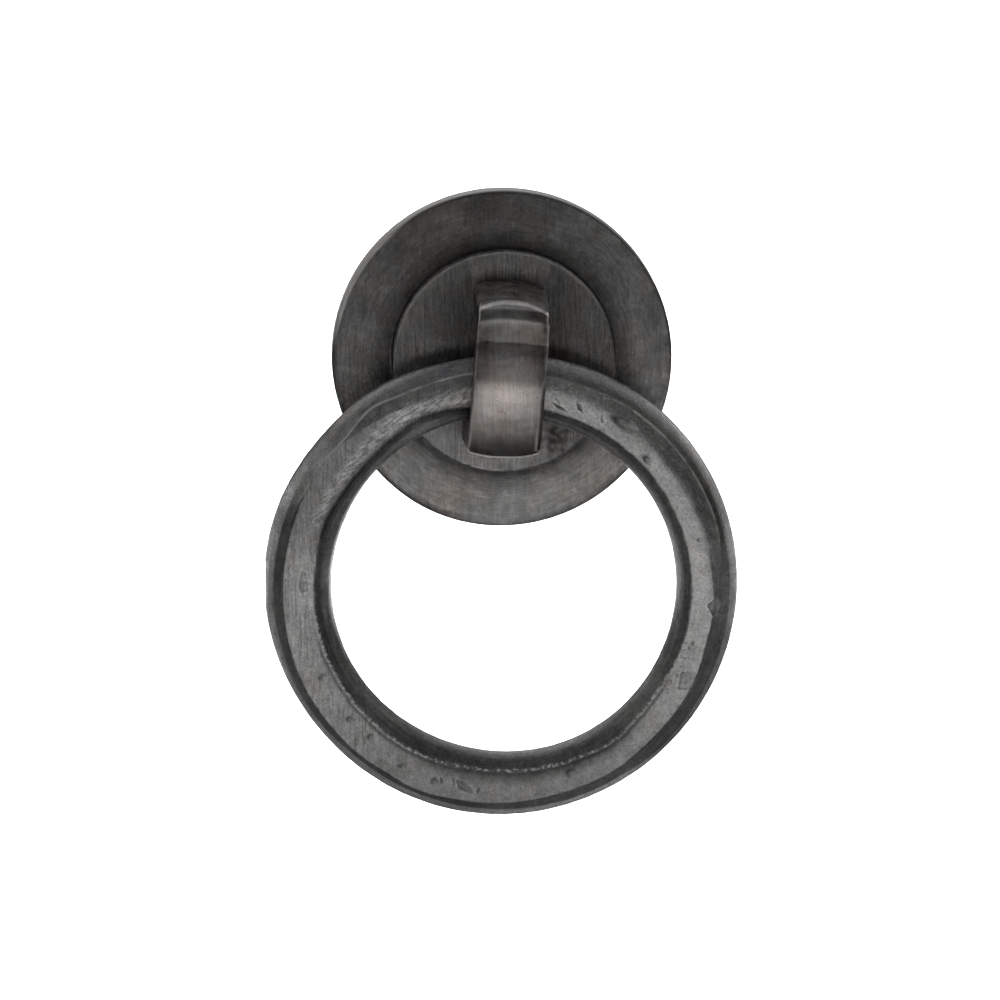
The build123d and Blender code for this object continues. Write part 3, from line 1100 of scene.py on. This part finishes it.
def ring_bronze():
    """Cast and filed: speckled face, brushed left side, file strokes by the inner edge, streaked bevels."""
    graph = Graph("ring_bronze")
    speckle = graph.noise(3.4, 3.0, 0.7)
    mottle = graph.noise(0.8, 4.0, 0.6)
    brush = graph.noise(1.0, 3.0, 0.7, graph.stretched((3.6, 0.6, 0.3)))
    strokes = graph.noise(1.0, 2.0, 0.6, graph.slanted(stroke_slope, 0.8, 3.8))
    strokes = graph.remap(strokes, 0.42, 0.58, 0.33, 0.67)
    streaks = graph.noise(1.0, 4.0, 0.65, graph.polar(ring_centre, 5.0, 4.0))
    filed = graph.attribute("filed")
    brushed = graph.math("ADD", graph.math("MULTIPLY", graph.attribute("brushed"), 0.25), 0.05)
    brushed = graph.math("MULTIPLY", brushed, graph.remap(filed, 0.0, 0.6, 1.0, 0.2))
    layers = [
        (speckle, 0.3),
        (mottle, 0.16),
        (brush, brushed),
        (strokes, graph.math("MULTIPLY", filed, 0.36)),
        (streaks, graph.math("MULTIPLY", graph.attribute("streaked"), 0.24)),
    ]
    tint = graph.remap(graph.noise(0.25, 3.0, 0.6), 0.45, 0.7, 0.0, 0.35)
    rough = graph.remap(speckle, 0.3, 0.7, 0.36, 0.48)
    # Painted highlight on the burr's beads, broken into dots
    dots = graph.remap(graph.noise(2.4, 1.0, 0.5), 0.47, 0.58, 0.08, 1.4)
    beads = graph.math("MULTIPLY", graph.attribute("beads"), dots)
    worn = graph.math("MAXIMUM", graph.attribute("worn"), beads)
    return graph.finish(layers, tint, rough, [(speckle, 0.06), (mottle, 0.06)], edge_tint=0.55, worn=worn)


def rosette_bronze():
    """Turned and brushed: mottled face with fine lines round it, boss brushed up and down."""
    graph = Graph("rosette_bronze")
    speckle = graph.noise(3.0, 3.0, 0.65)
    mottle = graph.noise(0.7, 5.0, 0.65)
    lines = graph.noise(1.0, 4.0, 0.7, graph.polar((0.0, 0.0, 0.0), 7.0, 3.6))
    brush = graph.noise(1.0, 4.0, 0.7, graph.stretched((4.2, 0.6, 0.25)))
    on_boss = graph.attribute("boss")
    layers = [
        (speckle, 0.16),
        (mottle, 0.3),
        (lines, graph.math("MULTIPLY", graph.math("SUBTRACT", 1.0, on_boss), 0.26)),
        (brush, graph.math("ADD", graph.math("MULTIPLY", on_boss, 0.32), 0.15)),
    ]
    tint = graph.remap(graph.noise(0.2, 4.0, 0.6), 0.45, 0.65, 0.1, 0.9)
    rough = graph.remap(mottle, 0.3, 0.7, 0.4, 0.54)
    return graph.finish(layers, tint, rough, [(speckle, 0.03), (brush, 0.03)])


def strap_bronze():
    """Brushed up and down, brown where the hand rubs it."""
    graph = Graph("strap_bronze")
    brush = graph.noise(1.0, 4.0, 0.7, graph.stretched((5.0, 0.8, 0.25)))
    mottle = graph.noise(1.0, 4.0, 0.55, graph.stretched((0.5, 0.5, 0.9)))
    speckle = graph.noise(3.0, 3.0, 0.6)
    layers = [(brush, 0.17), (mottle, 0.2), (speckle, 0.05)]
    tint = graph.remap(graph.noise(0.3, 3.0, 0.6), 0.35, 0.6, 0.2, 1.0)
    rough = graph.remap(mottle, 0.3, 0.7, 0.26, 0.36)
    return graph.finish(layers, tint, rough, [(brush, 0.02), (speckle, 0.015)])


def screw_bronze():
    """Plain turned screw heads with fine lines."""
    graph = Graph("screw_bronze")
    lines = graph.noise(1.0, 3.0, 0.6, graph.stretched((5.0, 5.0, 0.8)))
    mottle = graph.noise(1.5, 3.0, 0.6)
    tint = graph.remap(mottle, 0.4, 0.6, 0.0, 0.8)
    return graph.finish([(lines, 0.2), (mottle, 0.15)], tint, 0.35, [(lines, 0.02)], tone=0.2)


def dress(piece, body, node, material):
    """Gives a piece its material and its body, and hides the CAD node that it stands for."""
    piece.data.materials.append(material)
    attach(piece, body)
    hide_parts(node)


def lay_floor(height, size):
    """Plain pale floor, in metres."""
    corners = [(x * size / 2, y * size / 2, height) for x, y in ((-1, -1), (1, -1), (1, 1), (-1, 1))]
    mesh = bpy.data.meshes.new("floor")
    mesh.from_pydata(corners, [], [(0, 1, 2, 3)])
    paper = bpy.data.materials.new("floor_paper")
    paper.use_nodes = True
    surface = paper.node_tree.nodes["Principled BSDF"]
    surface.inputs["Base Color"].default_value = (0.85, 0.85, 0.85, 1)
    surface.inputs["Roughness"].default_value = 0.9
    mesh.materials.append(paper)
    floor = bpy.data.objects.new("floor", mesh)
    bpy.context.scene.collection.objects.link(floor)


def area_light(name, place, width, height, power, aim=(0.0, 0.0, 0.0), spread=180, colour=(1, 1, 1)):
    """Soft light aimed at a point, whose rays stay within spread degrees. Places are in metres."""
    data = bpy.data.lights.new(name, "AREA")
    data.shape = "RECTANGLE"
    data.size = width
    data.size_y = height
    data.energy = power
    data.color = colour
    data.spread = math.radians(spread)
    light = bpy.data.objects.new(name, data)
    light.location = place
    light.rotation_euler = (Vector(aim) - Vector(place)).to_track_quat("-Z", "Y").to_euler()
    light.visible_camera = False
    bpy.context.scene.collection.objects.link(light)


def set_world(strength):
    """Faint even white light from all sides."""
    world = bpy.data.worlds.new("studio")
    bpy.context.scene.world = world
    world.use_nodes = True
    background = world.node_tree.nodes["Background"]
    background.inputs["Color"].default_value = (1.0, 1.0, 1.0, 1)
    background.inputs["Strength"].default_value = strength


def set_camera():
    """Camera that looks at its target from the photograph's side."""
    azimuth = math.radians(camera_azimuth)
    elevation = math.radians(camera_elevation)
    level = math.cos(elevation)
    backwards = Vector((math.sin(azimuth) * level, -math.cos(azimuth) * level, math.sin(elevation)))
    data = bpy.data.cameras.new("camera")
    data.sensor_fit = "HORIZONTAL"
    data.angle = math.radians(camera_view_angle)
    data.clip_start = 0.01
    camera = bpy.data.objects.new("camera", data)
    camera.location = Vector(camera_target) * MM + backwards * camera_distance * MM
    camera.rotation_euler = (-backwards).to_track_quat("-Z", "Y").to_euler()
    bpy.context.scene.collection.objects.link(camera)
    bpy.context.scene.camera = camera


dress(make_ring(), "ring", "ring", ring_bronze())
dress(make_rosette(), "base", "rosette", rosette_bronze())
dress(make_strap(), "base", "strap", strap_bronze())
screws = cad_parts["strap_screws"]
screws.data.materials.clear()
screws.data.materials.append(screw_bronze())

# Floor and lights, in metres and watts
floor_height = -0.15
lay_floor(floor_height, size=8.0)
area_light("light_back_floor", (0.0, 1.35, 0.3), 0.8, 2.2, 28, aim=(0.0, 1.35, floor_height), spread=40)
area_light("light_front_floor", (0.0, -1.3, 0.6), 0.7, 1.6, 12, aim=(0.0, -1.3, floor_height), spread=50)
area_light("light_behind", (0.0, 1.1, 0.75), 1.4, 1.0, 4.0)
area_light("light_high_front", (0.0, -1.2, 0.75), 0.8, 0.8, 0.6)
area_light("light_above", (0.0, 0.1, 1.2), 1.1, 1.1, 2.4, colour=(0.88, 0.92, 1.0))
area_light("light_left", (-1.1, 0.2, 0.8), 0.8, 0.8, 2.2)
area_light("light_right", (1.1, 0.2, 0.8), 0.8, 0.8, 2.2)
set_world(strength=0.06)
set_camera()
bpy.context.scene.view_settings.view_transform = "Standard"
